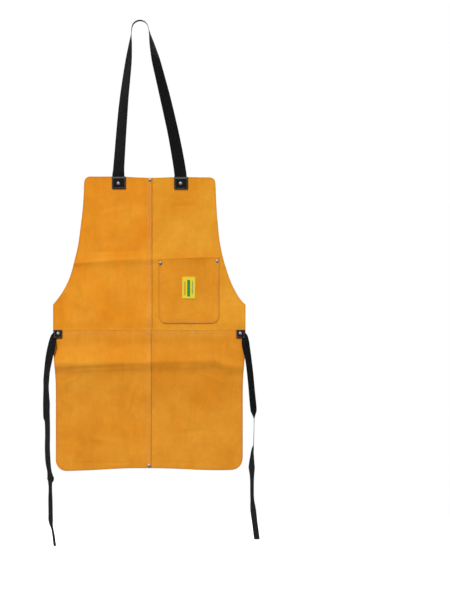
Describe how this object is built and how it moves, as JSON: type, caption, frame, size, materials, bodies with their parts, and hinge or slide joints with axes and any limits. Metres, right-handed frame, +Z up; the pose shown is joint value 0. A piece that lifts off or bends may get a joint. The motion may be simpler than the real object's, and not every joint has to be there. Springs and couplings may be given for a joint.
{
  "type": "leather bib apron",
  "caption": "Split-leather work apron with a lapped bib and skirt, a patch pocket, riveted webbing neck strap and hanging waist ties.",
  "frame": {"origin": "inside of the top of the neck loop, where the apron hangs on its hook", "axes": "+Z up, +Y from the front of the apron to its back, +X to the right as seen from the front"},
  "size_m": [0.6746, 0.038, 1.6354],
  "materials": {
    "leather": "napped split leather, golden tan",
    "webbing": "woven black webbing",
    "patch": "smooth black leather",
    "rivet": "satin nickel",
    "label": "woven label, yellow with plain stripes"
  },
  "bodies": {
    "root": {"bib_left": "leather", "bib_right": "leather", "skirt_left": "leather", "skirt_right": "leather", "pocket": "leather", "label": "label", "neck_strap": "webbing", "tie_left": "webbing", "tie_right": "webbing", "neck_patch_left": "patch", "neck_patch_right": "patch", "side_patch_left": "patch", "side_patch_right": "patch", "rivet_neck_left": "rivet", "rivet_neck_right": "rivet", "rivet_side_left": "rivet", "rivet_side_right": "rivet", "rivet_bib_top": "rivet", "rivet_hem": "rivet", "rivet_pocket_left": "rivet", "rivet_pocket_right": "rivet"}
  },
  "joints": []
}
